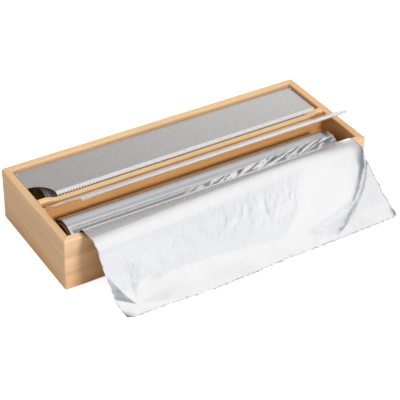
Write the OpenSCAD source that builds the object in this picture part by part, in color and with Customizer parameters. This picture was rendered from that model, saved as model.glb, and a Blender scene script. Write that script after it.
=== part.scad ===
// Two-bay wrap dispenser: a mitred bamboo box with a divider, two hinged steel
// lids that carry a serrated tear edge, a foil roll in the front bay with its
// sheet drawn out over the front wall, and a film roll in the rear bay.
// The origin is the centre of the underside. +X runs along the box, -Y is the
// side the foil is drawn out over, +Z is up. All sizes are in millimetres.

/* [Box] */
// Outside length of the box
box_l = 340; // [340:1:360]
// Outside depth of the box, front to back
box_w = 132; // [132:1:140]
// Outside height of the box
box_h = 56; // [56:1:64]
// Thickness of the four walls
wall_t = 8; // [7:0.5:8]
// Radius that eases the long edges of the boards
edge_r = 1.2; // [0.6:0.1:1.5]
// Radius of the box's upright corners
corner_r = 3; // [2:0.5:5]

/* [Divider] */
// Clear depth of the front bay, front wall to divider
front_bay_w = 55; // [54.5:0.5:56]
// Thickness of the divider
divider_t = 7; // [6:0.5:8]
// Depth of the dado that holds each end of the divider
dado_d = 3; // [2:0.5:4]

/* [Lowered edge] */
// How far the middle of the front wall and the divider is cut down
dip_d = 3.3; // [2.5:0.1:3.5]
// Full-height stretch left at each end, measured from the side wall
dip_end = 6.5; // [5:0.5:10]
// Length of the ramp down to the lowered stretch
dip_ramp = 14; // [12:1:20]

/* [Base panel] */
// Thickness of the base panel
base_t = 6; // [4:0.5:6]
// Width of the rabbet that the panel lies in
rabbet_w = 5; // [4:0.5:5]
// Radius of a panel pin
pin_r = 0.7; // [0.5:0.1:0.9]
// Length of a panel pin
pin_l = 15; // [12:1:18]

/* [Lids] */
// Thickness of the lid sheet
lid_t = 0.8; // [0.6:0.1:1]
// How far a closed lid lies below the top of the box
lid_recess = 3; // [2.8:0.1:3.2]
// Distance from the hinge line to the tips of the teeth
lid_reach = 48; // [46:0.1:48]
// Length of the bent-down lip, teeth included
lip_l = 5.2; // [4:0.1:5.5]
// Angle of the lip below the plate, degrees
lip_angle = 31; // [25:1:40]
// Outside radius of the bend between the plate and the lip
bend_r = 1.6; // [1.2:0.1:2]
// Spacing of the teeth
tooth_pitch = 3; // [2.5:0.5:4]
// Depth of the teeth
tooth_d = 2; // [1:0.1:2]
// Radius of the finger notch in the front left corner
notch_r = 21.5; // [18:0.5:24]
// Gap between each end of a lid and the side wall
lid_end_gap = 1.5; // [1.2:0.1:2]
// Angle at which the front lid stands open, degrees
front_lid_open = 36; // [0:1:90]

/* [Hinges] */
// Distance from the hinge line to the board behind it
pivot_back = 3.5; // [3.5:0.1:3.8]
// Height of the plate's top above the hinge line
pivot_drop = 2.4; // [2.4:0.1:2.5]
// Radius of the ear around the hinge screw
ear_r = 3.4; // [3.2:0.1:3.4]
// Radius of the hinge screw's shank
screw_r = 1.1; // [0.9:0.1:1.2]
// Length of the shank that is inside the side wall
screw_grip = 6; // [5:0.5:6.5]
// Running clearance of the ear on its screw
turn_gap = 0.06; // [0.03:0.01:0.1]

/* [Rolls] */
// Length of the foil and of the film on their cores
roll_l = 302; // [296:1:302]
// Radius of the foil roll
foil_r = 22; // [20:0.5:22.5]
// Radius of the film roll
film_r = 21; // [20:0.5:22.5]
// Outside radius of a cardboard core
core_r = 18.5; // [16:0.5:19]
// Wall of a cardboard core
core_t = 2; // [1.5:0.5:3]
// How far a core stands out of its roll at each end
core_out = 1; // [0.5:0.5:2]
// Height that a roll is held clear of the base panel
roll_lift = 0.3; // [0.1:0.1:0.5]
// Distance from the front wall's inner face to the foil roll's axis
foil_roll_in = 25; // [24:0.5:28]
// How far the foil roll lies to the left of the middle
foil_shift = 2; // [0:1:6]
// How far the film roll lies to the right of the middle
film_shift = 7; // [0:1:7]

/* [Foil sheet] */
// Thickness of the solid that stands for the drawn-out foil
sheet_t = 0.6; // [0.5:0.1:0.8]
// Height at which the sheet starts to rise beside the wall
sheet_start = 33; // [30:1:38]
// Distance from the wall's inner face to the middle of the rising sheet
sheet_in = 1.2; // [1:0.1:1.5]
// Radius of the crown over the front wall
crown_r = 8.6; // [8.4:0.1:9]
// Height of the crown's top above the top of the box
crown_up = 4.5; // [4.4:0.1:6]
// Flat run on top of the crown
crown_run = 8; // [6:0.5:10]
// Radius of the bend where the sheet starts to fall
fall_r = 18; // [14:1:24]
// Slope of the falling stretch, degrees
fall_angle = 55; // [50:1:60]
// Radius of the bend where the sheet levels out
foot_r = 24; // [18:1:28]
// Slope of the hem, degrees
hem_angle = 28; // [20:1:32]
// Height of the hem above the table
hem_z = 3; // [2:0.5:6]
// Length of the straight stretch at the hem
hem_l = 12; // [6:1:14]
// How far the sheet's right side spreads for each unit it falls away from the box
spread = 0.11; // [0:0.01:0.15]

/* [Hidden] */
$fn = 64;

// Gaps in a glued joint, round a driven fixing, at a stop and beside a head
glue_gap = 0.05;
hole_gap = 0.02;
stop_gap = 0.1;
head_gap = 0.1;
swing_gap = 0.18;
// How far a cutter runs past the faces that it cuts
over = 1;
half_l = box_l / 2;
half_w = box_w / 2;
inner_l = box_l - 2 * wall_t;
inner_w = box_w - 2 * wall_t;
divider_y = -half_w + wall_t + front_bay_w;
divider_back_y = divider_y + divider_t;
rear_bay_w = inner_w - front_bay_w - divider_t;

pivot_z = box_h - lid_recess - pivot_drop;
front_pivot_y = divider_y - pivot_back;
rear_pivot_y = half_w - wall_t - pivot_back;
lid_half = inner_l / 2 - lid_end_gap;
lid_bend_y = -(lid_reach - lip_l * cos(lip_angle));
lid_back_y = sqrt(pow(pivot_back - swing_gap, 2) - pow(pivot_drop, 2));

// How far the teeth would run past the lip if their tips were sharp
tip_flat = 0.15;

// The screw head fits under the lid's plate: its radius and height, and the
// length, width and depth of its cross recess
screw_head_r = pivot_drop - lid_t - head_gap;
head_t = 1.1;
recess_l = 1.9;
recess_w = 0.4;
recess_d = 0.5;
washer_r = 2.5;
washer_t = lid_end_gap - 2 * head_gap;

foil_roll_y = -half_w + wall_t + foil_roll_in;
foil_roll_z = base_t + roll_lift + foil_r;
film_roll_y = divider_back_y + rear_bay_w / 2;
film_roll_z = base_t + roll_lift + film_r;
core_l = roll_l + 2 * core_out;

spline_z0 = 12;
spline_h = 32;
spline_w = 6;
spline_t = 2;
spline_in = wall_t * 0.55;
tenon_top = 46;
long_pin_step = inner_l / 7;
short_pin_y = inner_w / 4;
pin_in = wall_t - rabbet_w / 2;

bamboo = [0.84, 0.71, 0.54];
bamboo_dark = [0.76, 0.62, 0.45];
steel = [0.72, 0.72, 0.71];
foil_colour = [0.88, 0.89, 0.90];
cardboard = [0.60, 0.44, 0.30];

// A rectangle from the origin with all four corners rounded.
module eased_rect(w, h, r) {
    translate([r, 0]) square([w - 2 * r, h]);
    translate([0, r]) square([w, h - 2 * r]);
    for (x = [r, w - r], y = [r, h - r]) translate([x, y]) circle(r);
}

// A straight board of length l along X, with its four long edges eased.
module board(l, t, h) {
    translate([-l / 2, 0, 0]) rotate([90, 0, 90]) linear_extrude(l) eased_rect(t, h, edge_r);
}

// The outside of the box in plan, with its rounded upright corners.
module outside_plan() {
    translate([-half_l, -half_w, -over]) linear_extrude(box_h + 2 * over)
        eased_rect(box_l, box_w, corner_r);
}

// The room for one mitred board that lies along the -Y side of a box l long.
module mitre_room(l) {
    reach = 2 * wall_t;
    translate([0, 0, -over]) linear_extrude(box_h + 2 * over)
        polygon([[-l / 2, 0], [l / 2, 0], [l / 2 - reach, reach], [-l / 2 + reach, reach]]);
}

// The side view of a lowered edge: an S-shaped ramp, a flat, and a ramp back up.
module dip_profile() {
    top = box_h + over;
    x0 = inner_l / 2 - dip_end;
    steps = 12;
    ramp = [for (i = [0:steps])
        [x0 - dip_ramp * i / steps, box_h - dip_d * (1 - cos(180 * i / steps)) / 2]];
    left = [for (i = [steps:-1:0]) [-ramp[i][0], ramp[i][1]]];
    polygon(concat([[x0, top]], ramp, left, [[-x0, top]]));
}

// The cutter that lowers the middle of a board lying along X.
module dip_cut(y0, t) {
    translate([0, y0 + t + over, 0]) rotate([90, 0, 0]) linear_extrude(t + 2 * over) dip_profile();
}

// The block that a base panel fills, grown by a gap on its four sides.
module base_block(gap) {
    l = inner_l + 2 * rabbet_w + 2 * gap;
    w = inner_w + 2 * rabbet_w + 2 * gap;
    translate([-l / 2, -w / 2, 0]) cube([l, w, base_t]);
}

// One spline across each mitred corner, grown by a gap.
module splines(gap) {
    for (sx = [-1, 1], sy = [-1, 1])
        translate([sx * (half_l - spline_in), sy * (half_w - spline_in), spline_z0 - gap])
            rotate([0, 0, -45 * sx * sy])
                translate([-spline_w / 2 - gap, -spline_t / 2 - gap, 0])
                    cube([spline_w + 2 * gap, spline_t + 2 * gap, spline_h + 2 * gap]);
}

// The panel pins, driven up through the panel into the walls.
module pins(gap) {
    for (i = [-3:2:3], s = [-1, 1])
        translate([i * long_pin_step, s * (half_w - pin_in), -gap]) pin(gap);
    for (i = [-1, 1], s = [-1, 1])
        translate([s * (half_l - pin_in), i * short_pin_y, -gap]) pin(gap);
}

// One panel pin, with its foot at the origin.
module pin(gap) {
    cylinder(h = pin_l + 2 * gap, r = pin_r + gap);
}

// The hole in a side wall for each hinge screw.
module hinge_holes() {
    for (y = [front_pivot_y, rear_pivot_y], s = [-1, 1])
        translate([s * (inner_l / 2 + screw_grip / 2), y, pivot_z]) rotate([0, 90, 0])
            cylinder(h = screw_grip + 2 * glue_gap, r = screw_r + hole_gap, center = true);
}

// The body of the divider, grown by a gap, with a tenon at each end.
module divider_block(gap) {
    tenon_l = inner_l + 2 * dado_d + 2 * gap;
    translate([-tenon_l / 2, divider_y - gap, base_t - gap])
        cube([tenon_l, divider_t + 2 * gap, tenon_top - base_t + 2 * gap]);
}

// A mitred wall along the -Y side, before its own cuts.
module wall_blank(l, w) {
    intersection() {
        translate([0, -w / 2, 0]) board(l, wall_t, box_h);
        translate([0, -w / 2, 0]) mitre_room(l);
        children();
    }
}

module front_wall() {
    color(bamboo) difference() {
        wall_blank(box_l, box_w) outside_plan();
        dip_cut(-half_w, wall_t);
        base_block(glue_gap);
        splines(glue_gap);
        pins(hole_gap);
    }
}

module back_wall() {
    color(bamboo) difference() {
        rotate([0, 0, 180]) wall_blank(box_l, box_w) outside_plan();
        base_block(glue_gap);
        splines(glue_gap);
        pins(hole_gap);
    }
}

// A side wall is a board of the box's depth, turned to lie along Y.
module side_wall(side) {
    difference() {
        rotate([0, 0, side * 90]) wall_blank(box_w, box_l) rotate([0, 0, -side * 90]) outside_plan();
        base_block(glue_gap);
        divider_block(glue_gap);
        splines(glue_gap);
        pins(hole_gap);
        hinge_holes();
    }
}

module left_wall() {
    color(bamboo_dark) side_wall(-1);
}

module right_wall() {
    color(bamboo_dark) side_wall(1);
}

module corner_splines() {
    color(bamboo_dark) splines(0);
}

module divider() {
    l = inner_l - 2 * glue_gap;
    color(bamboo) difference() {
        union() {
            divider_block(-glue_gap);
            intersection() {
                translate([0, divider_y, 0]) board(l, divider_t, box_h);
                translate([-half_l, -half_w, base_t + glue_gap]) cube([box_l, box_w, box_h]);
            }
        }
        dip_cut(divider_y, divider_t);
    }
}

module base_panel() {
    color(bamboo) difference() {
        base_block(-glue_gap);
        pins(hole_gap);
    }
}

module base_pins() {
    color(steel) pins(0);
}

// One face of a shut lid in side view, d below its top: plate, bend and lip.
function lid_face(d) =
    let (
        set_back = bend_r * tan(lip_angle / 2),
        turn = [lid_bend_y + set_back, pivot_drop - bend_r],
        along = [-cos(lip_angle), -sin(lip_angle)],
        lip_start = turn + (bend_r - d) * [-sin(lip_angle), cos(lip_angle)])
    concat(
        [[lid_back_y, pivot_drop - d]],
        arc(turn, bend_r - d, 90, 90 + lip_angle),
        [lip_start + (lip_l - set_back) * along]);

// The bent sheet of a lid, before the teeth and the notch are cut.
module lid_sheet() {
    under = lid_face(lid_t);
    back = [for (i = [len(under) - 1:-1:0]) under[i]];
    translate([-lid_half, 0, 0]) rotate([90, 0, 90]) linear_extrude(2 * lid_half)
        polygon(concat(lid_face(0), back));
}

// The cutter for the gaps between the teeth, which leaves the tips blunt.
module tooth_cut() {
    teeth = floor(2 * lid_half / tooth_pitch);
    x0 = -teeth * tooth_pitch / 2;
    root = lip_l - tooth_d;
    far = lip_l + 2 * over;
    end = lid_half + over;
    zigzag = [for (i = [0:2 * teeth])
        [x0 + i * tooth_pitch / 2, i % 2 == 0 ? root : lip_l + tip_flat]];
    translate([0, lid_bend_y, pivot_drop]) rotate([lip_angle, 0, 0]) mirror([0, 1, 0])
        translate([0, 0, -lid_t - over]) linear_extrude(lid_t + 2 * over)
            polygon(concat([[-end, far], [-end, root]], zigzag, [[end, root], [end, far]]));
}

// The side view of an ear: round about the screw, with a square heel that
// meets the board behind when the lid is shut.
module ear_outline() {
    circle(ear_r);
    translate([0, -ear_r]) square([pivot_back - stop_gap, ear_r]);
    translate([-ear_r, 0]) square([ear_r + lid_back_y, pivot_drop - lid_t / 2]);
}

// One ear at each end of a lid, with its screw hole.
module ears() {
    for (s = [-1, 1])
        translate([s * (lid_half - lid_t / 2), 0, 0]) rotate([90, 0, 90])
            linear_extrude(lid_t, center = true) difference() {
                ear_outline();
                circle(screw_r + turn_gap);
            }
}

// A shut lid, with its hinge line on the X axis.
module lid() {
    difference() {
        union() {
            lid_sheet();
            ears();
        }
        tooth_cut();
        translate([-lid_half, -lid_reach, -over])
            cylinder(h = pivot_drop + 2 * over, r = notch_r);
    }
}

// The hinge screws of one lid: shank in the wall, head inside the ear.
module hinge_screws(y) {
    ear_in = lid_half - lid_t;
    shank_l = inner_l / 2 + screw_grip - ear_in + head_gap;
    for (s = [-1, 1]) translate([0, y, pivot_z]) mirror([s < 0 ? 1 : 0, 0, 0])
        translate([ear_in - head_gap, 0, 0]) rotate([0, 90, 0]) {
            cylinder(h = shank_l, r = screw_r);
            screw_head();
        }
}

// A low domed head with a cross recess, turned about the screw's axis.
module screw_head() {
    dome_r = (pow(screw_head_r, 2) + pow(head_t, 2)) / (2 * head_t);
    difference() {
        rotate_extrude() intersection() {
            translate([0, -head_t]) square([screw_head_r, head_t]);
            translate([0, dome_r - head_t]) circle(dome_r);
        }
        for (a = [0, 90]) rotate([0, 0, a])
            translate([-recess_l / 2, -recess_w / 2, -head_t - over])
                cube([recess_l, recess_w, recess_d + over]);
    }
}

// The washers that keep a lid's ears off the side walls.
module hinge_washers(y) {
    for (s = [-1, 1]) translate([s * (inner_l / 2 - head_gap / 2 - washer_t / 2), y, pivot_z])
        rotate([0, 90, 0]) difference() {
            cylinder(h = washer_t, r = washer_r, center = true);
            cylinder(h = washer_t + over, r = screw_r + hole_gap, center = true);
        }
}

module rear_lid() {
    color(steel) translate([0, rear_pivot_y, pivot_z]) lid();
}

module rear_hinge_screws() {
    color(steel) hinge_screws(rear_pivot_y);
}

module rear_hinge_washers() {
    color("dimgray") hinge_washers(rear_pivot_y);
}

module front_lid() {
    color(steel) translate([0, front_pivot_y, pivot_z]) rotate([-front_lid_open, 0, 0]) lid();
}

module front_hinge_screws() {
    color(steel) hinge_screws(front_pivot_y);
}

module front_hinge_washers() {
    color("dimgray") hinge_washers(front_pivot_y);
}

// A tube along X, centred on x.
module tube(x, y, z, l, r_out, r_in) {
    translate([x, y, z]) rotate([0, 90, 0]) difference() {
        cylinder(h = l, r = r_out, center = true);
        cylinder(h = l + 2 * over, r = r_in, center = true);
    }
}

module foil_core() {
    color(cardboard)
        tube(-foil_shift, foil_roll_y, foil_roll_z, core_l, core_r, core_r - core_t);
}

module foil_winding() {
    color(foil_colour)
        tube(-foil_shift, foil_roll_y, foil_roll_z, roll_l, foil_r, core_r + glue_gap);
}

module film_core() {
    color(cardboard)
        tube(film_shift, film_roll_y, film_roll_z, core_l, core_r, core_r - core_t);
}

module film_winding() {
    color("lightsteelblue")
        tube(film_shift, film_roll_y, film_roll_z, roll_l, film_r, core_r + glue_gap);
}

// Points on an arc about c, from angle a0 to angle a1.
function arc(c, r, a0, a1) =
    let (n = max(2, ceil(abs(a1 - a0) / 5)))
    [for (i = [0:n]) c + r * [cos(a0 + (a1 - a0) * i / n), sin(a0 + (a1 - a0) * i / n)]];

// One face of the drawn-out sheet in side view, d outside its middle line: up
// beside the wall, over the crown, down the fall and out along the hem.
function sheet_face(d) =
    let (
        rise_y = -half_w + wall_t + sheet_in,
        crown = [rise_y - crown_r, box_h + crown_up - crown_r],
        top = [crown[0] - crown_run, crown[1] + crown_r - fall_r],
        bend = top + fall_r * [-sin(fall_angle), cos(fall_angle)],
        foot_top = hem_z + foot_r * (cos(hem_angle) - cos(fall_angle)) + hem_l * sin(hem_angle),
        foot = [bend[0] - (bend[1] - foot_top) / tan(fall_angle), foot_top],
        foot_c = foot + foot_r * [-sin(fall_angle), cos(fall_angle)],
        foot_end = foot_c + foot_r * [sin(hem_angle), -cos(hem_angle)],
        hem = foot_end + hem_l * [-cos(hem_angle), -sin(hem_angle)],
        up = [-sin(hem_angle), cos(hem_angle)])
    concat(
        [[rise_y + d, sheet_start]],
        arc(crown, crown_r + d, 0, 90),
        arc(top, fall_r + d, 90, 90 + fall_angle),
        arc(foot_c, foot_r - d, fall_angle - 90, hem_angle - 90),
        [hem + d * up]);

// The sheet in plan: it leaves the roll square, then spreads to the right.
module sheet_plan() {
    reach = box_w;
    polygon([
        [-roll_l / 2, 0], [-roll_l / 2, -half_w],
        [-roll_l / 2 + reach * spread / 2, -half_w - reach],
        [roll_l / 2 + reach * spread, -half_w - reach],
        [roll_l / 2, -half_w], [roll_l / 2, 0]]);
}

module foil_sheet() {
    outer = sheet_face(sheet_t / 2);
    inner = sheet_face(-sheet_t / 2);
    back = [for (i = [len(inner) - 1:-1:0]) inner[i]];
    color(foil_colour) intersection() {
        translate([-half_l, 0, 0]) rotate([90, 0, 90]) linear_extrude(box_l)
            polygon(concat(outer, back));
        linear_extrude(2 * box_h) sheet_plan();
    }
}

front_wall();
back_wall();
left_wall();
right_wall();
corner_splines();
divider();
base_panel();
base_pins();
rear_lid();
rear_hinge_screws();
rear_hinge_washers();
front_lid();
front_hinge_screws();
front_hinge_washers();
foil_core();
foil_winding();
foil_sheet();
film_core();
film_winding();
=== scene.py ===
import math

import bmesh
import bpy
import numpy as np
from mathutils import Matrix, Vector


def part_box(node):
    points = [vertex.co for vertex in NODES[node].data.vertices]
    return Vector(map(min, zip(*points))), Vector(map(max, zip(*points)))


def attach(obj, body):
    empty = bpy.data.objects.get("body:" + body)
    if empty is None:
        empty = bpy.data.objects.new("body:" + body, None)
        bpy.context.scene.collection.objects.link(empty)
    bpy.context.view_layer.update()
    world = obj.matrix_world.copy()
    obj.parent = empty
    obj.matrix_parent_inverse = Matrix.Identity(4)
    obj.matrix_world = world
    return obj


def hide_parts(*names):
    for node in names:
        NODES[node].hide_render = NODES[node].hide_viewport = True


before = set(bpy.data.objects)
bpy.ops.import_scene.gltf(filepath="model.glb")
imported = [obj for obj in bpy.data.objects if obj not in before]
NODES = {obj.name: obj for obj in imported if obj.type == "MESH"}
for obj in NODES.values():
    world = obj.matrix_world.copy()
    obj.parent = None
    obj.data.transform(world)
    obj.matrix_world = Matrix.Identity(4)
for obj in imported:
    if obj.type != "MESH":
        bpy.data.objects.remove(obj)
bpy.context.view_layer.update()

MM = 0.001

# ---------------------------------------------------------------- places, from the frame
WALL_LO, WALL_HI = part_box("front_wall")
SIDE_LO, SIDE_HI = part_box("left_wall")
DIVIDER_LO, DIVIDER_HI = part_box("divider")
PANEL_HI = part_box("base_panel")[1]
WINDING_LO, WINDING_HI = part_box("foil_winding")
FILM_LO, FILM_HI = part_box("film_winding")
CORE_LO, CORE_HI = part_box("foil_core")

TOP_Z = SIDE_HI.z                              # top of the box
HALF_L = -SIDE_LO.x                            # half of the box's length
HALF_W = -WALL_LO.y                            # half of its width
INNER_HALF_L = -SIDE_HI.x                      # half of the clear length between the side walls
WALL_T = WALL_HI.y - WALL_LO.y
ROLL_Y = (WINDING_LO.y + WINDING_HI.y) / 2
ROLL_Z = (WINDING_LO.z + WINDING_HI.z) / 2
ROLL_R = (WINDING_HI.z - WINDING_LO.z) / 2

# ---------------------------------------------------------------- material helpers
BLACK, WHITE = (0.0, 0.0, 0.0), (1.0, 1.0, 1.0)


def new_material(name):
    material = bpy.data.materials.new(name)
    material.use_nodes = True
    tree = material.node_tree
    return material, tree, tree.nodes["Principled BSDF"]


def node(tree, kind, **values):
    """A new node; each value goes to the input of that name, or else to the node's own setting."""
    made = tree.nodes.new(kind)
    for key, value in values.items():
        if key in made.inputs:
            made.inputs[key].default_value = value
        else:
            setattr(made, key, value)
    return made


def put(tree, made, slot, value):
    """Gives an input a socket, a colour or a plain number."""
    if isinstance(value, bpy.types.NodeSocket):
        tree.links.new(value, made.inputs[slot])
    elif isinstance(value, tuple):
        made.inputs[slot].default_value = (*value, 1.0)
    else:
        made.inputs[slot].default_value = value


def place(tree, scale, offset=(0, 0, 0)):
    """The piece's own coordinates in metres, scaled and moved."""
    coords = node(tree, "ShaderNodeTexCoord")
    mapping = node(tree, "ShaderNodeMapping", Scale=scale, Location=offset)
    tree.links.new(coords.outputs["Object"], mapping.inputs["Vector"])
    return mapping.outputs["Vector"]


def noise(tree, scale, detail, rough, offset=(0, 0, 0)):
    """Cloudy noise from 0 to 1; scale gives the number of cells per metre along each axis."""
    made = node(tree, "ShaderNodeTexNoise", Scale=1.0, Detail=detail, Roughness=rough)
    tree.links.new(place(tree, scale, offset), made.inputs["Vector"])
    return made.outputs["Fac"]


def ramp(tree, value, stops):
    """Colours by value, from (position, colour) stops."""
    made = node(tree, "ShaderNodeValToRGB")
    band = made.color_ramp
    while len(band.elements) < len(stops):
        band.elements.new(0.5)
    for element, (position, colour) in zip(band.elements, stops):
        element.position = position
        element.color = (*colour, 1.0)
    tree.links.new(value, made.inputs["Fac"])
    return made.outputs["Color"]


def mix(tree, factor, a, b, blend="MIX"):
    """Mixes two colours; factor, a and b are each a socket or a plain value."""
    made = node(tree, "ShaderNodeMix", data_type="RGBA", blend_type=blend)
    for slot, value in ((0, factor), (6, a), (7, b)):      # the slots of its colour version
        put(tree, made, slot, value)
    return made.outputs[2]


def multiply(tree, a, b):
    return mix(tree, 1.0, a, b, "MULTIPLY")


def math_of(tree, operation, a, b=0.0):
    made = node(tree, "ShaderNodeMath", operation=operation)
    put(tree, made, 0, a)
    put(tree, made, 1, b)
    return made.outputs[0]


def span(tree, value, low, high):
    """value from 0..1 carried over to low..high."""
    made = node(tree, "ShaderNodeMapRange")
    made.inputs["To Min"].default_value = low
    made.inputs["To Max"].default_value = high
    tree.links.new(value, made.inputs["Value"])
    return made.outputs["Result"]


def axes_of(tree, output):
    """The X, Y and Z of one of the texture coordinates."""
    coords = node(tree, "ShaderNodeTexCoord")
    split = node(tree, "ShaderNodeSeparateXYZ")
    tree.links.new(coords.outputs[output], split.inputs["Vector"])
    return split.outputs


def bump(tree, shader, height, distance, strength, under=None):
    """Bumps the shader's surface by height, on top of an earlier bump if one is given."""
    made = node(tree, "ShaderNodeBump", Strength=strength, Distance=distance)
    tree.links.new(height, made.inputs["Height"])
    if under is not None:
        tree.links.new(under, made.inputs["Normal"])
    tree.links.new(made.outputs["Normal"], shader.inputs["Normal"])
    return made.outputs["Normal"]


def toned(tone, *factors):
    """A colour times one factor, or times one factor per channel, and no more than 1."""
    if len(factors) == 1:
        factors = factors * 3
    return tuple(min(1.0, channel * factor) for channel, factor in zip(tone, factors))


# ---------------------------------------------------------------- materials
def bamboo(name, tone, seed):
    """Laminated bamboo: long fibres along X, strips that differ a little in tone, and painted shade
    where the wood faces other wood.
    """
    material, tree, shader = new_material(name)
    fibres = noise(tree, (22.0, 900.0, 900.0), 3.0, 0.6, (seed, seed, seed))
    bands = noise(tree, (7.0, 150.0, 150.0), 3.0, 0.5, (seed * 2, seed, 0))
    strips = noise(tree, (0.9, 95.0, 95.0), 0.0, 0.0, (0, seed * 3, seed))
    colour = ramp(tree, bands, [
        (0.30, toned(tone, 0.80, 0.74, 0.66)), (0.50, tone), (0.68, toned(tone, 1.12))])
    colour = mix(tree, span(tree, strips, 0.0, 0.55), colour, toned(tone, 1.14))
    specks = ramp(tree, fibres, [(0.30, WHITE), (0.44, BLACK), (1.0, BLACK)])
    dark = toned(tone, 0.78, 0.68, 0.56)
    colour = mix(tree, math_of(tree, "MULTIPLY", specks, 0.55), colour, dark)
    # The base colour carries painted shade where the wood faces other wood.
    tree.links.new(painted_bounce_shade(tree, colour), shader.inputs["Base Color"])
    tree.links.new(span(tree, bands, 0.40, 0.54), shader.inputs["Roughness"])
    shader.inputs["Coat Weight"].default_value = 0.08
    shader.inputs["Coat Roughness"].default_value = 0.35
    bump(tree, shader, fibres, 0.12 * MM, 0.35)
    return material


def painted_bounce_shade(tree, colour):
    """Painted shade: wood that faces other wood, as inside the bays, is lit by it and looks deeper and
    redder, so an ambient occlusion tint darkens and reddens its colour there. Edges that face up stay
    as they are."""
    free = node(tree, "ShaderNodeAmbientOcclusion", samples=8, Distance=60 * MM)
    shade_colour = ramp(tree, free.outputs["AO"], [(0.25, (1.0, 0.76, 0.53)), (0.68, WHITE)])
    upward = math_of(tree, "MAXIMUM", axes_of(tree, "Normal")["Z"], 0.0)
    sideways = math_of(tree, "SUBTRACT", 1.0, upward)
    return mix(tree, sideways, colour, multiply(tree, colour, shade_colour))


def brushed_steel(name, tone, rough, lines=1.0):
    """Sheet steel brushed along X: long hair lines in the bump, the gloss and the colour."""
    material, tree, shader = new_material(name)
    hair = noise(tree, (28.0, 5200.0, 5200.0), 3.0, 0.65)
    grit = noise(tree, (330.0, 1000.0, 1000.0), 3.0, 0.7)
    cloud = noise(tree, (9.0, 40.0, 40.0), 2.0, 0.5)
    colour = mix(tree, span(tree, hair, 0.0, 1.0), toned(tone, 0.88), toned(tone, 1.10))
    grains = ramp(tree, grit, [(0.35, BLACK), (0.65, WHITE)])
    colour = mix(tree, grains, colour, multiply(tree, colour, (0.83, 0.82, 0.81)))
    colour = mix(tree, span(tree, cloud, 0.0, 0.25), colour, toned(tone, 0.92))
    tree.links.new(colour, shader.inputs["Base Color"])
    shader.inputs["Metallic"].default_value = 1.0
    tree.links.new(span(tree, hair, rough - 0.05, rough + 0.08), shader.inputs["Roughness"])
    bump(tree, shader, hair, 0.02 * MM, 0.5 * lines)
    return material


def foil_metal(name, tone, rough, crinkle, streak):
    """Aluminium foil: crinkle is the height of fine creases, streak that of the long lines along X,
    which only a wound roll has."""
    material, tree, shader = new_material(name)
    creases = node(tree, "ShaderNodeTexVoronoi", Scale=1.0, feature="DISTANCE_TO_EDGE")
    tree.links.new(place(tree, (150.0, 90.0, 90.0), (3, 1, 2)), creases.inputs["Vector"])
    wavy = noise(tree, (230.0, 70.0, 70.0), 6.0, 0.62)
    cloud = noise(tree, (30.0, 45.0, 45.0), 4.0, 0.6)
    colour = mix(tree, span(tree, cloud, 0.0, 0.8), tone, toned(tone, 0.90))
    if streak:
        lines = noise(tree, (1.6, 420.0, 420.0), 2.0, 0.6)
        colour = mix(tree, span(tree, lines, 0.0, 0.7), colour, toned(tone, 0.62))
        # The roll's end faces get painted shade.
        colour = painted_end_shade(tree, colour)
    else:
        # The sheet gets painted shade in its folds, at its torn rim and at its curled corner.
        colour = painted_fold_shade(tree, colour)
    tree.links.new(colour, shader.inputs["Base Color"])
    shader.inputs["Metallic"].default_value = 1.0
    tree.links.new(span(tree, wavy, rough - 0.05, rough + 0.07), shader.inputs["Roughness"])
    under = bump(tree, shader, creases.outputs["Distance"], crinkle, 0.30)
    under = bump(tree, shader, wavy, crinkle, 0.65, under)
    if streak:
        bump(tree, shader, lines, streak, 0.8, under)
    return material


def painted_end_shade(tree, colour):
    """Painted shade: the stacked edges of the layers at a roll's ends, which face along X, catch
    little light, so those faces are painted near black.
    """
    sideways = math_of(tree, "ABSOLUTE", axes_of(tree, "Normal")["X"])
    amount = math_of(tree, "MULTIPLY", math_of(tree, "GREATER_THAN", sideways, 0.9), 0.85)
    return mix(tree, amount, colour, (0.05, 0.05, 0.055))


def painted_fold_shade(tree, colour):
    """Painted shade: deep folds, the gap beside the roll, the torn rim and the curled corner of the
    sheet are painted dark. The mesh says where, point by point.
    """
    amount = node(tree, "ShaderNodeAttribute", attribute_name="shade")
    return mix(tree, amount.outputs["Fac"], colour, (0.15, 0.165, 0.19))


def cardboard(name, dark, light):
    """Core board with blotches and faint fibres."""
    material, tree, shader = new_material(name)
    fibres = noise(tree, (300.0, 700.0, 700.0), 5.0, 0.65)
    blotch = noise(tree, (35.0, 35.0, 35.0), 3.0, 0.5)
    base = mix(tree, blotch, dark, light)
    colour = mix(tree, span(tree, fibres, 0.0, 0.5), base, toned(dark, 0.6))
    tree.links.new(colour, shader.inputs["Base Color"])
    shader.inputs["Roughness"].default_value = 0.85
    bump(tree, shader, fibres, 0.2 * MM, 0.5)
    return material


def cling_film(name):
    """Tightly wound clear film: glossy, bluish grey, with faint lines along the roll."""
    material, tree, shader = new_material(name)
    lines = noise(tree, (6.0, 500.0, 500.0), 3.0, 0.55)
    colour = mix(tree, lines, (0.28, 0.32, 0.38), (0.50, 0.55, 0.62))
    tree.links.new(colour, shader.inputs["Base Color"])
    shader.inputs["Metallic"].default_value = 0.35
    shader.inputs["Coat Weight"].default_value = 1.0
    shader.inputs["Coat Roughness"].default_value = 0.08
    tree.links.new(span(tree, lines, 0.14, 0.26), shader.inputs["Roughness"])
    bump(tree, shader, lines, 0.08 * MM, 0.6)
    return material


def nylon(name):
    """Dark washer plastic with a faint mottle."""
    material, tree, shader = new_material(name)
    mottle = noise(tree, (900.0, 900.0, 900.0), 3.0, 0.5)
    colour = mix(tree, mottle, (0.030, 0.030, 0.032), (0.055, 0.055, 0.06))
    tree.links.new(colour, shader.inputs["Base Color"])
    shader.inputs["Roughness"].default_value = 0.45
    bump(tree, shader, mottle, 0.03 * MM, 0.4)
    return material


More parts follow.
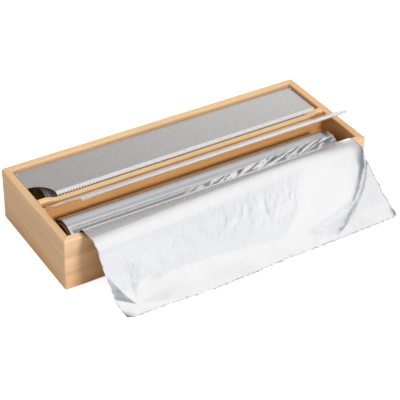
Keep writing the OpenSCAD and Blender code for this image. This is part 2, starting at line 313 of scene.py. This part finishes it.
bamboo_front = bamboo("bamboo_front", (0.66, 0.45, 0.27), 0.3)
bamboo_back = bamboo("bamboo_back", (0.61, 0.42, 0.24), 5.1)
bamboo_left = bamboo("bamboo_left", (0.57, 0.37, 0.195), 0.9)
bamboo_right = bamboo("bamboo_right", (0.58, 0.355, 0.18), 3.7)
bamboo_divider = bamboo("bamboo_divider", (0.68, 0.45, 0.235), 1.7)
bamboo_panel = bamboo("bamboo_panel", (0.52, 0.32, 0.16), 2.9)
lid_steel = brushed_steel("lid_steel", (0.80, 0.79, 0.78), 0.22)
fixing_steel = brushed_steel("fixing_steel", (0.62, 0.62, 0.61), 0.28, 0.4)
sheet_foil = foil_metal("sheet_foil", (0.94, 0.94, 0.945), 0.27, 0.07 * MM, 0.0)
# The roll's foil is the sheet's foil with a darker tone: painted shade for the greyer look of the
# wound roll.
roll_foil = foil_metal("roll_foil", (0.74, 0.745, 0.76), 0.24, 0.004 * MM, 0.07 * MM)
core_board = cardboard("core_board", (0.22, 0.115, 0.06), (0.34, 0.19, 0.11))
# The film's core has a paler board, partly its own colour and partly painted highlight where light
# falls on it through the lid's notch.
pale_board = cardboard("pale_board", (0.40, 0.34, 0.29), (0.62, 0.56, 0.50))
film_gloss = cling_film("film_gloss")
washer_nylon = nylon("washer_nylon")


# ---------------------------------------------------------------- mesh helpers
def finish_piece(obj, material, body, slot, *nodes):
    """Gives a piece its material and its body, and hides the CAD nodes it stands in for. The slot is
    not used.
    """
    obj.data.materials.clear()
    obj.data.materials.append(material)
    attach(obj, body)
    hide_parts(*nodes)


def paint(name, material):
    """Gives a carried-over CAD node its material."""
    NODES[name].data.materials.clear()
    NODES[name].data.materials.append(material)


def mesh_object(name, vertices, faces, smooth=True):
    mesh = bpy.data.meshes.new(name)
    mesh.from_pydata([tuple(v) for v in vertices], [], faces)
    mesh.validate()
    for polygon in mesh.polygons:
        polygon.use_smooth = smooth
    obj = bpy.data.objects.new(name, mesh)
    bpy.context.scene.collection.objects.link(obj)
    return obj


def sharpen(obj, degrees):
    """Marks every edge that turns more than this as sharp, so that flats stay flat and bends round."""
    bm = bmesh.new()
    bm.from_mesh(obj.data)
    bmesh.ops.recalc_face_normals(bm, faces=bm.faces)
    for edge in bm.edges:
        if len(edge.link_faces) == 2:
            edge.smooth = edge.calc_face_angle(0.0) < math.radians(degrees)
    bm.to_mesh(obj.data)
    bm.free()


# ---------------------------------------------------------------- boards
EDGE_R = 1.2 * MM          # the eased long edges of the boards
EDGE_STEPS = 5
CORNER_R = 3 * MM          # the box's upright corners
DIP_D = TOP_Z - 52.7 * MM  # depth of the lowered stretch
DIP_END = 6.5 * MM         # full height kept beside each side wall
DIP_RAMP = 14 * MM         # length of the ramp
RABBET_W = 5 * MM
BOARD_SHARP = 35.0         # degrees


def dip_height(x):
    """Height of a lowered board's top edge at x: full at the ends, lowered in the middle."""
    start = INNER_HALF_L - DIP_END
    share = min(max((start - abs(x)) / DIP_RAMP, 0.0), 1.0)
    return TOP_Z - DIP_D * (1 - math.cos(math.pi * share)) / 2


def eased_section(thickness, bottom, rabbet):
    """Points round a board's section as (t, z, from_top), outer face first.
    z is measured from the top edge where from_top is true, else from the table."""
    points = []

    def corner(t, z, start, from_top):
        for i in range(EDGE_STEPS + 1):
            a = math.radians(start + 90 / EDGE_STEPS * i)
            points.append((t + EDGE_R * math.cos(a), z + EDGE_R * math.sin(a), from_top))

    corner(EDGE_R, bottom + EDGE_R, 180, False)
    if rabbet:
        points.append((thickness - RABBET_W, bottom, False))
        points.append((thickness - RABBET_W, bottom + PANEL_HI.z, False))
        points.append((thickness, bottom + PANEL_HI.z, False))
    else:
        corner(thickness - EDGE_R, bottom + EDGE_R, 270, False)
    corner(thickness - EDGE_R, -EDGE_R, 0, True)
    corner(EDGE_R, -EDGE_R, 90, True)
    return points


def loft(name, rings):
    """A closed solid through rings of points, with a flat face at each end."""
    n = len(rings[0])
    vertices = [point for ring in rings for point in ring]
    faces = []
    for i in range(len(rings) - 1):
        for j in range(n):
            k = (j + 1) % n
            faces.append((i * n + j, (i + 1) * n + j, (i + 1) * n + k, i * n + k))
    last = (len(rings) - 1) * n
    faces.append(tuple(range(n)))
    faces.append(tuple(last + j for j in reversed(range(n))))
    obj = mesh_object(name, vertices, faces)
    sharpen(obj, BOARD_SHARP)
    return obj


def corner_in(past, t):
    """How far the rounded upright corner moves a wall's point inwards: past is how far beyond the
    corner's start it lies, t how far it lies from the outer face."""
    return (CORNER_R - math.sqrt(CORNER_R ** 2 - past ** 2)) * (1 - t / WALL_T)


def mitre_depth(t):
    """Depth at which a point t from a wall's outer face meets the 45 degree mitre."""
    depth = max(t, 0.3 * CORNER_R)
    for _ in range(40):                          # halves the error each time
        depth = (depth + t + corner_in(max(CORNER_R - depth, 0.0), t)) / 2
    return depth


def board_stations():
    """Places along a board from -1 to 1, close together at the ends."""
    near = [1 - 0.05 * (1 - math.sin(math.radians(7.5 * i))) for i in range(13)]
    shares = list(np.linspace(0, 0.94, 60)) + near
    return [-s for s in reversed(shares[1:])] + shares


def mitred_board(name, half_l, y0, lowered, turn):
    """One wall of the box, built along its -Y side and then turned to its own side."""
    section = eased_section(WALL_T, 0.0, True)
    ends = [mitre_depth(t) for t, z, from_top in section]
    rings = []
    for s in board_stations():
        ring = []
        for (t, z, from_top), end in zip(section, ends):
            x = s * (half_l - end)
            past = min(max(abs(x) - (half_l - CORNER_R), 0.0), CORNER_R)
            height = (dip_height(x) if lowered else TOP_Z) + z if from_top else z
            ring.append((x, y0 + t + corner_in(past, t), height))
        rings.append(ring)
    obj = loft(name, rings)
    obj.rotation_euler.z = math.radians(turn)
    return obj


def divider_board():
    section = eased_section(DIVIDER_HI.y - DIVIDER_LO.y, DIVIDER_LO.z, False)
    rings = []
    for s in board_stations():
        x = s * INNER_HALF_L
        rings.append([(x, DIVIDER_LO.y + t, (dip_height(x) + z) if from_top else z)
                      for t, z, from_top in section])
    return loft("divider_board", rings)


for name, half_l, y0, lowered, turn, material, slot in (
        ("front", HALF_L, -HALF_W, True, 0, bamboo_front, "bamboo"),
        ("back", HALF_L, -HALF_W, False, 180, bamboo_back, "bamboo"),
        ("left", HALF_W, -HALF_L, False, -90, bamboo_left, "bamboo_side"),
        ("right", HALF_W, -HALF_L, False, 90, bamboo_right, "bamboo_side")):
    board = mitred_board(name + "_board", half_l, y0, lowered, turn)
    finish_piece(board, material, "box", slot, name + "_wall")
finish_piece(divider_board(), bamboo_divider, "box", "bamboo", "divider")

for name, material in (
        ("corner_splines", bamboo_panel), ("base_panel", bamboo_panel), ("base_pins", fixing_steel),
        ("rear_lid", lid_steel), ("front_lid", lid_steel),
        ("rear_hinge_screws", fixing_steel), ("front_hinge_screws", fixing_steel),
        ("rear_hinge_washers", washer_nylon), ("front_hinge_washers", washer_nylon),
        ("foil_core", core_board), ("film_core", pale_board)):
    paint(name, material)

# ---------------------------------------------------------------- wound rolls
ROUND_STEPS = 128          # points round a roll
LENGTH_STEPS = 76          # points along its outside
RAGGED = 0.6 * MM          # how unevenly the layers end
ROLL_SHARP = 40.0          # degrees
BORE_R = (CORE_HI.z - CORE_LO.z) / 2 + 0.05 * MM


def winding_profile(lo, hi, layers, rng):
    """(x, radius) from the left end's bore out along that end, along the outside, and back."""
    outer_r = (hi.z - lo.z) / 2
    radii = np.linspace(BORE_R, outer_r - 0.2 * MM, layers)
    left = [(lo.x + rng.uniform(0, RAGGED), r) for r in radii]
    right = [(hi.x - rng.uniform(0, RAGGED), r) for r in radii]
    inset = RAGGED / 2
    outside = [(x, outer_r) for x in np.linspace(lo.x + inset, hi.x - inset, LENGTH_STEPS)]
    bore = [(x, BORE_R) for x in np.linspace(hi.x - RAGGED, lo.x + RAGGED, 4)]
    return left + outside + right[::-1] + bore


def ripple_at(a, u, phases):
    """Long shallow waves in a roll's outside, from 0 down, at angle a and u along it."""
    return (math.sin(7 * a + phases[0] + 3 * u) + math.sin(13 * a + phases[1] - 5 * u)
            + 0.6 * math.sin(29 * a + phases[2] + 9 * u) - 2.6)


def winding(name, lo, hi, layers, ripple, seed):
    """A wound roll: a slightly uneven outside, and end faces that show the edges of the layers."""
    rng = np.random.default_rng(seed)
    cy, cz, outer_r = (lo.y + hi.y) / 2, (lo.z + hi.z) / 2, (hi.z - lo.z) / 2
    phases = rng.uniform(0, 2 * math.pi, 8)
    profile = winding_profile(lo, hi, layers, rng)
    vertices = []
    for x, radius in profile:
        u = (x - lo.x) / (hi.x - lo.x)
        outside = radius > outer_r - 0.1 * MM
        for a in np.linspace(0, 2 * math.pi, ROUND_STEPS, endpoint=False):
            r = radius + (ripple * ripple_at(a, u, phases) if outside else 0.0)
            vertices.append((x, cy + r * math.cos(a), cz + r * math.sin(a)))
    n, rows = ROUND_STEPS, len(profile)
    faces = []
    for i in range(rows):
        ii = (i + 1) % rows
        for j in range(n):
            jj = (j + 1) % n
            faces.append((i * n + j, i * n + jj, ii * n + jj, ii * n + j))
    obj = mesh_object(name, vertices, faces)
    sharpen(obj, ROLL_SHARP)
    return obj


foil_roll = winding("foil_roll_winding", WINDING_LO, WINDING_HI, 9, 0.03 * MM, 11)
finish_piece(foil_roll, roll_foil, "foil_roll", "foil", "foil_winding")
film_roll = winding("film_roll_winding", FILM_LO, FILM_HI, 7, 0.01 * MM, 12)
finish_piece(film_roll, film_gloss, "film_roll", "film", "film_winding")

# ---------------------------------------------------------------- the drawn-out foil
SHEET_COLUMNS = 361
VALLEY_ROWS = 46
FALL_ROWS = 170
SHEET_T = 0.05 * MM
CLEAR_R = ROLL_R + 0.35 * MM      # the sheet never comes nearer the roll's axis than this
CLEAR_Z = 0.4 * MM                # nor nearer the table
SHEET_HALF = 149.5 * MM
SHEET_IN = 1.2 * MM               # middle of the rising sheet, from the wall's inner face
CROWN_R = 8.6 * MM                # the bend over the wall's top edge
CROWN_TOP = TOP_Z + 4.5 * MM
FALL_R = 18 * MM                  # the bend from the crown into the fall
FALL_L = 112 * MM                 # length of the sheet from the crown to the hem
FOOT_R = 20 * MM                  # the bend from the fall out to the hem
HEM_ANGLE = math.radians(28)
HEM_Z = 2.2 * MM
HEM_Y = -133 * MM
TOOTH_PITCH = 3 * MM              # of the lid that tore the hem
TRIANGLE_SKEW = 0.3660254         # carries a grid of triangles over to one of squares


def facets(x, y, cell, seed):
    """Flat-faceted noise from -1 to 1: random heights on a triangle grid, joined by flat faces."""
    x, y = x / cell, y / cell
    skew = (x + y) * TRIANGLE_SKEW
    xs, ys = x + skew, y + skew
    i, j = np.floor(xs).astype(int), np.floor(ys).astype(int)
    fx, fy = xs - i, ys - j

    def height(a, b):                # an integer hash, so that each grid point keeps its height
        h = (a * 374761393 + b * 668265263 + seed * 974634777) & 0xFFFFFFFF
        h = ((h ^ (h >> 13)) * 1274126177) & 0xFFFFFFFF
        return ((h ^ (h >> 16)) & 0xFFFF) / 32767.5 - 1.0

    mid = np.where(fx > fy, height(i + 1, j), height(i, j + 1))
    near, far = height(i, j), height(i + 1, j + 1)
    high, low = np.maximum(fx, fy), np.minimum(fx, fy)
    return near * (1 - high) + mid * (high - low) + far * low


def bell(value, centre, width):
    return np.exp(-((value - centre) / width) ** 2)


def step(value, low, high):
    """0 below low, 1 above high, and smooth between."""
    t = np.clip((value - low) / (high - low), 0.0, 1.0)
    return t * t * (3 - 2 * t)


def arc(centre, radius, start, end, count):
    angles = np.radians(np.linspace(start, end, count))
    return [np.array(centre) + radius * np.array([math.cos(a), math.sin(a)]) for a in angles]


def resample(points, count):
    """count points, evenly spaced, along the line through the given ones."""
    lengths = np.r_[0, np.cumsum(np.linalg.norm(np.diff(points, axis=0), axis=1))]
    at = np.linspace(0, lengths[-1], count)
    return np.c_[np.interp(at, lengths, points[:, 0]), np.interp(at, lengths, points[:, 1])]


def fall_path(u, count):
    """(y, z) points at u across the sheet: over the wall, down the fall and out to the hem.
    The left-hand part falls steeply to a flat foot; the right-hand edge slopes more gently."""
    fall = 66 - 17 * float(step(u, 0.0, 0.8))
    run = 11 * (1 - u) ** 1.5 * MM
    crown = (WALL_HI.y + SHEET_IN - CROWN_R, CROWN_TOP - CROWN_R)
    points = arc(crown, CROWN_R, 0, 90, 24)
    points += arc((crown[0] - run, CROWN_TOP - FALL_R), FALL_R, 90, 90 + fall, 30)
    slope, hem = math.radians(fall), HEM_ANGLE
    top = points[-1]
    foot_l = FOOT_R * (math.sin(slope) - math.sin(hem))
    hem_l = 10 * MM
    for _ in range(6):                           # the hem's length that ends it at HEM_Y
        foot_z = HEM_Z + hem_l * math.sin(hem) + FOOT_R * (math.cos(hem) - math.cos(slope))
        foot_y = top[0] - (top[1] - foot_z) / math.tan(slope)
        hem_l = max(foot_y - foot_l - HEM_Y, 1 * MM)
    centre = np.array([foot_y, foot_z]) + FOOT_R * np.array([-math.sin(slope), math.cos(slope)])
    points += arc(centre, FOOT_R, fall - 90, math.degrees(hem) - 90, 30)
    points.append(points[-1] - hem_l * np.array([math.cos(hem), math.sin(hem)]))
    return resample(np.array(points), count)


def valley_path(u, count):
    """(y, z) points from the roll down into the gap beside the wall and up to the foot of the crown.
    Towards the right-hand end the slack foil lies higher on the roll and the valley is shallow."""
    slack = float(step(u, 0.30, 1.0))
    start, leave = math.radians(64 + 17 * slack), math.radians(14 + 34 * slack)
    points = [np.array([ROLL_Y - CLEAR_R * math.cos(a), ROLL_Z + CLEAR_R * math.sin(a)])
              for a in np.linspace(start, leave, 16)]
    p0 = points[-1]
    p3 = np.array([WALL_HI.y + SHEET_IN, CROWN_TOP - CROWN_R])
    reach = np.linalg.norm(p3 - p0) * 0.55
    p1 = p0 - reach * np.array([math.sin(leave), math.cos(leave)])
    p2 = p3 - reach * np.array([0.0, 1.0])
    for t in np.linspace(0, 1, 24)[1:]:
        points.append((1 - t) ** 3 * p0 + 3 * (1 - t) ** 2 * t * p1
                      + 3 * (1 - t) * t ** 2 * p2 + t ** 3 * p3)
    return resample(np.array(points), count)


def smooth_sheet():
    """The sheet before it is crumpled: its points, how far each lies across it from 0 to 1, and how
    far down the fall from 0 to 1. In the valley that last one is below 0."""
    u = np.linspace(0, 1, SHEET_COLUMNS)
    grid = np.zeros((VALLEY_ROWS + FALL_ROWS, SHEET_COLUMNS, 3))
    for c in range(SHEET_COLUMNS):
        grid[:, c, 1:] = np.vstack([valley_path(u[c], VALLEY_ROWS),
                                    fall_path(u[c], FALL_ROWS + 1)[1:]])
    share = np.r_[np.linspace(-0.2, 0, VALLEY_ROWS), np.linspace(1 / FALL_ROWS, 1, FALL_ROWS)]
    uu, share = np.meshgrid(u, share)
    down = np.clip(share, 0, 1)
    left = 2 * down + 2.8 * bell(down, 0.72, 0.16) + 8.0 * step(down, 0.80, 1.05)
    right = 17 * down
    grid[..., 0] = (2 * uu - 1) * SHEET_HALF + (left * (1 - uu) + right * uu) * MM
    return grid, uu, share


def outward(grid):
    """The direction away from the box at each point of the sheet."""
    normal = np.cross(np.gradient(grid, axis=1), np.gradient(grid, axis=0))
    normal /= np.linalg.norm(normal, axis=2, keepdims=True)
    return normal * np.sign(normal[VALLEY_ROWS + 60, SHEET_COLUMNS // 2, 2])


def bulge(x, share):
    """The slack fold near the right-hand edge: a long rise from the left and a steep far side."""
    ridge = (141 - 72 * share ** 2.8) * MM
    left = np.clip(1 - ((ridge - x) / (64 * MM)) ** 2, 0, 1) ** 2
    past = x - ridge
    right = 1 - 0.42 * np.clip(past / (14 * MM), 0, 1) ** 2 - 0.58 * step(past, 13 * MM, 20 * MM)
    height = step(share, 0.12, 0.50) * (1 - step(share, 0.70, 1.0))
    return 12 * MM * height * np.where(x < ridge, left, right)


PINCH_X, PINCH_RUN = -126 * MM, 102 * MM         # where the corner's folds meet
CREASE_TURNS = (-180, -152, -118, -88, -64, -40, -15, 12, 42, 75, 110, 149, 180)
CREASE_SLOPES = (0.09, 0.20, 0.02, 0.07, 0.01, 0.05, 0.00, 0.06, 0.00, 0.06, 0.02, 0.00, 0.09)


def corner_creases(x, run):
    """Flat folds that fan out from a pinched point near the left-hand end of the hem, and lift the
    sheet's left-hand edge. A turn of 0 points along +X, one of 90 degrees down the sheet."""
    dx, dr = x - PINCH_X, run - PINCH_RUN
    dist = np.hypot(dx, dr)
    slope = np.interp(np.degrees(np.arctan2(dr, dx)), CREASE_TURNS, CREASE_SLOPES)
    return slope * dist * (1 - step(dist, 20 * MM, 56 * MM))


def crumple(x, run, share):
    """Flat facets at several sizes, a band of fine upright puckers across the middle, and a
    crimped hem."""
    warp = 6 * MM * np.sin(x / (23 * MM) + run / (31 * MM))
    loose = step(share, 0.15, 0.50) * (1 - 0.7 * step(x, 110 * MM, 150 * MM))
    lift = loose * 0.60 * MM * facets(x + warp, run, 36 * MM, 3)
    lift += (0.05 + 0.95 * loose) * 0.14 * MM * facets(x, run + warp, 15 * MM, 5)
    lift += loose * 0.07 * MM * facets(x + run, run - x, 6 * MM, 7)
    band = bell(share, 0.52 - 0.08 * x / SHEET_HALF, 0.15) * bell(x, -15 * MM, 105 * MM)
    lift += 0.30 * MM * band * facets(x * 1.3 + run * 0.4, run * 0.5, 5.2 * MM, 11)
    lift += 0.35 * MM * step(share, 0.965, 1.0) * facets(x, run * 2, 3.0 * MM, 13)
    return lift


def keep_off_roll(grid, lift):
    """Moves the points in the valley out from the roll's axis by lift, and never inside the roll."""
    radial = np.stack([grid[..., 1] - ROLL_Y, grid[..., 2] - ROLL_Z], axis=-1)
    radius = np.linalg.norm(radial, axis=-1)
    wanted = np.maximum(radius + lift, CLEAR_R) / radius
    grid[..., 1] = ROLL_Y + radial[..., 0] * wanted
    grid[..., 2] = ROLL_Z + radial[..., 1] * wanted


def wrinkle_valley(grid, uu, share):
    """Wrinkles the slack foil beside the roll, and returns the wrinkles' heights from -1 to 1."""
    slack = step(uu, 0.25, 0.85) * (1 - step(share, -0.06, 0.03))
    x = grid[..., 0]
    wrinkles = facets(share * 0.11 * 2.2 + x * 0.45, x * 0.22, 3.0 * MM, 9)
    rows = VALLEY_ROWS + 4
    keep_off_roll(grid[:rows], (1.0 * MM * wrinkles * slack)[:rows])
    return wrinkles


def tear_hem(grid, uu, down):
    """Bows the hem, rounds its two ends and leaves it ragged, as teeth tear it."""
    x = grid[-1, :, 0]
    rng = np.random.default_rng(21)
    saw = np.abs(x / TOOTH_PITCH % 1.0 - 0.5) * rng.uniform(0.8, 2.0, SHEET_COLUMNS)
    saw += 0.7 * facets(x, x * 0.3, 6 * MM, 15)
    nearest = np.minimum(uu[-1], 1 - uu[-1]) * 2 * SHEET_HALF
    rounded = 3.5 * MM * np.clip(1 - nearest / (7 * MM), 0, 1) ** 2
    bow = 3.4 * MM * bell(x, -45 * MM, 58 * MM)
    grid[..., 1] += step(down, 0.86, 1.0) * (rounded - bow)
    grid[-1, :, 1] -= 1.0 * MM * saw


def crumpled_sheet():
    """The drawn-out foil's points, and the painted shade of each of them."""
    grid, uu, share = smooth_sheet()
    x, down = grid[..., 0], np.clip(share, 0, 1)
    run = down * FALL_L
    lift = bulge(x, down) + corner_creases(x, run) + crumple(x, run, down)
    lift *= step(down, 0.03, 0.16)
    grid += outward(grid) * lift[..., None]
    wrinkles = wrinkle_valley(grid, uu, share)
    tear_hem(grid, uu, down)
    grid[..., 2] = np.maximum(grid[..., 2], CLEAR_Z)
    wavy = uu ** 12 * step(down, 0.1, 0.3) * facets(run, run * 0.4, 9 * MM, 17)
    grid[..., 0] += 1.1 * MM * wavy
    return grid, fold_shade(grid, uu, share, wrinkles)


def fold_shade(grid, uu, share, wrinkles):
    """How much painted shade each point gets: the gap beside the roll, except its raised wrinkles, the
    torn rim and the curled corner of the hem."""
    raised = step(wrinkles, 0.0, 0.25) * step(uu, 0.30, 0.55)
    gap = 0.85 * step(share, -0.2, -0.19) * (1 - step(share, 0.0, 0.05)) * (1 - raised)
    in_from_side = np.minimum(uu, 1 - uu) * 2 * SHEET_HALF
    in_from_hem = (1 - share) * FALL_L
    broken = step(facets(grid[..., 0], grid[..., 1] * 1.4, 2.6 * MM, 19), -0.2, 0.4)
    rim = 0.75 * bell(np.minimum(in_from_side, in_from_hem), 0, 0.9 * MM) * broken
    curl = 0.9 * bell(np.hypot(2 * SHEET_HALF * uu, in_from_hem), 0, 6 * MM)
    return np.maximum(gap, np.maximum(rim, curl) * step(share, 0.08, 0.12))


def foil_sheet():
    grid, shade = crumpled_sheet()
    n = SHEET_COLUMNS
    faces = [(r * n + c, r * n + c + 1, (r + 1) * n + c + 1, (r + 1) * n + c)
             for r in range(VALLEY_ROWS + FALL_ROWS - 1) for c in range(n - 1)]
    obj = mesh_object("foil_drawn_out", grid.reshape(-1, 3), faces)
    # The painted shade of each point goes with the mesh.
    obj.data.attributes.new("shade", "FLOAT", "POINT").data.foreach_set("value", shade.ravel())
    thick = obj.modifiers.new("thickness", "SOLIDIFY")
    thick.thickness = SHEET_T
    thick.offset = 0.0
    return obj


finish_piece(foil_sheet(), sheet_foil, "box", "foil", "foil_sheet")


# ---------------------------------------------------------------- floor, light and camera
def ray_is(tree, kind):
    return node(tree, "ShaderNodeLightPath").outputs[kind]


FLOOR_HALF = 6.0
FLOOR_DROP = 0.4 * MM      # keeps the floor from touching the box's underside
FLOOR_GLOW = 0.75          # makes the camera see the paper over-exposed


def floor():
    """A pale paper floor that the camera sees as over-exposed white."""
    corners = [(x * FLOOR_HALF, y * FLOOR_HALF, 0) for x, y in ((-1, -1), (1, -1), (1, 1), (-1, 1))]
    obj = mesh_object("floor", corners, [(0, 1, 2, 3)], False)
    material, tree, shader = new_material("floor_paper")
    grain = noise(tree, (3.0, 3.0, 3.0), 2.0, 0.5)
    paper = mix(tree, grain, (0.86, 0.86, 0.86), (0.90, 0.90, 0.90))
    paper = mix(tree, ray_is(tree, "Is Glossy Ray"), paper, (0.66, 0.67, 0.69))
    tree.links.new(paper, shader.inputs["Base Color"])
    shader.inputs["Roughness"].default_value = 0.9
    shader.inputs["Specular IOR Level"].default_value = 0.0
    shader.inputs["Emission Color"].default_value = (*WHITE, 1.0)
    glow = math_of(tree, "MULTIPLY", ray_is(tree, "Is Camera Ray"), FLOOR_GLOW)
    tree.links.new(glow, shader.inputs["Emission Strength"])
    obj.data.materials.append(material)
    obj.location.z = -FLOOR_DROP


def area_light(name, place_at, target, size, power):
    """A softbox that lights the wood and the floor; bright metal mirrors the studio world instead."""
    light = bpy.data.lights.new(name, "AREA")
    light.shape = "RECTANGLE"
    light.size, light.size_y = size
    light.energy = power
    obj = bpy.data.objects.new(name, light)
    obj.location = place_at
    obj.rotation_euler = (Vector(target) - Vector(place_at)).to_track_quat("-Z", "Y").to_euler()
    obj.visible_glossy = False
    obj.visible_camera = False
    bpy.context.scene.collection.objects.link(obj)
    return obj


def as_share(tree, value):
    """value from -1..1 carried over to 0..1."""
    return math_of(tree, "ADD", math_of(tree, "MULTIPLY", value, 0.5), 0.5)


def backdrop(tree, up, across):
    """Behind the object: white low down, grey above, brighter again overhead and to the right."""
    tall = ramp(tree, up, [
        (0.50, (1.25, 1.25, 1.25)), (0.72, (1.25, 1.25, 1.25)),
        (0.79, (0.35, 0.35, 0.355)), (0.82, (0.39, 0.39, 0.395)), (0.86, (0.80, 0.80, 0.81)),
        (0.90, (0.98, 0.98, 0.98))])
    wide = ramp(tree, across, [
        (0.65, (0.76, 0.75, 0.74)), (0.72, (1.0, 0.99, 0.98)), (0.80, (1.05, 1.05, 1.05))])
    return multiply(tree, tall, wide)


def front_side(tree, up):
    """In front of the object: white, a little bluer and darker half way up."""
    return ramp(tree, up, [
        (0.50, (1.02, 1.03, 1.05)), (0.64, (0.90, 0.92, 0.96)), (0.70, (0.90, 0.92, 0.96)),
        (0.78, (1.06, 1.05, 1.05)), (1.0, (1.04, 1.03, 1.03))])


def side_flags(tree, across):
    """Dark flags at the far left and the far right."""
    return ramp(tree, across, [
        (0.12, (0.60, 0.66, 0.74)), (0.28, WHITE), (0.80, WHITE), (0.92, (0.25, 0.28, 0.33))])


def studio_world():
    """A white studio as metal mirrors it: a white backdrop low behind the object, grey above that,
    white overhead and in front. Other surfaces are lit by an even, softer white."""
    world = bpy.data.worlds.new("studio")
    world.use_nodes = True
    tree = world.node_tree
    axes = axes_of(tree, "Generated")
    across, up = as_share(tree, axes["X"]), as_share(tree, axes["Z"])
    behind = ramp(tree, as_share(tree, axes["Y"]), [(0.50, BLACK), (0.62, WHITE)])
    round_about = mix(tree, behind, front_side(tree, up), backdrop(tree, up, across))
    mirrored = multiply(tree, round_about, side_flags(tree, across))
    colour = mix(tree, ray_is(tree, "Is Glossy Ray"), (0.61, 0.575, 0.535), mirrored)
    background = tree.nodes["Background"]
    tree.links.new(colour, background.inputs["Color"])
    background.inputs["Strength"].default_value = 1.0
    bpy.context.scene.world = world


AZIMUTH = math.radians(33.0)
ELEVATION = math.radians(36.44)
ROLL = math.radians(1.87)
DISTANCE = 1.2594
TARGET = Vector((-0.0115, -0.0424, 0.030))
LENS, SENSOR = 117.2, 36.0         # millimetres


def camera():
    """The photo's camera, fitted to the box's corners and edges in the photo."""
    data = bpy.data.cameras.new("photo_camera")
    data.lens = LENS
    data.sensor_width = SENSOR
    flat = math.cos(ELEVATION)
    back = Vector((-math.sin(AZIMUTH) * flat, -math.cos(AZIMUTH) * flat, math.sin(ELEVATION)))
    right = Vector((math.cos(AZIMUTH), -math.sin(AZIMUTH), 0.0))
    up = back.cross(right)
    turn = Matrix((right, up, back)).transposed() @ Matrix.Rotation(ROLL, 3, "Z")
    obj = bpy.data.objects.new("photo_camera", data)
    obj.matrix_world = Matrix.Translation(TARGET + DISTANCE * back) @ turn.to_4x4()
    bpy.context.scene.collection.objects.link(obj)
    bpy.context.scene.camera = obj


floor()
studio_world()
area_light("key", (0.28, -1.50, 0.98), (0, 0, 0.03), (0.45, 0.28), 21.0)
area_light("top", (0.0, 0.25, 1.8), (0, 0, 0), (1.6, 1.4), 13.0)
bay = area_light("bay", (0, -0.027, 0.0625), (0, -0.0505, 0.0302), (0.30, 0.034), 0.018)
bay.visible_glossy = True
camera()
bpy.context.scene.view_settings.view_transform = "Standard"
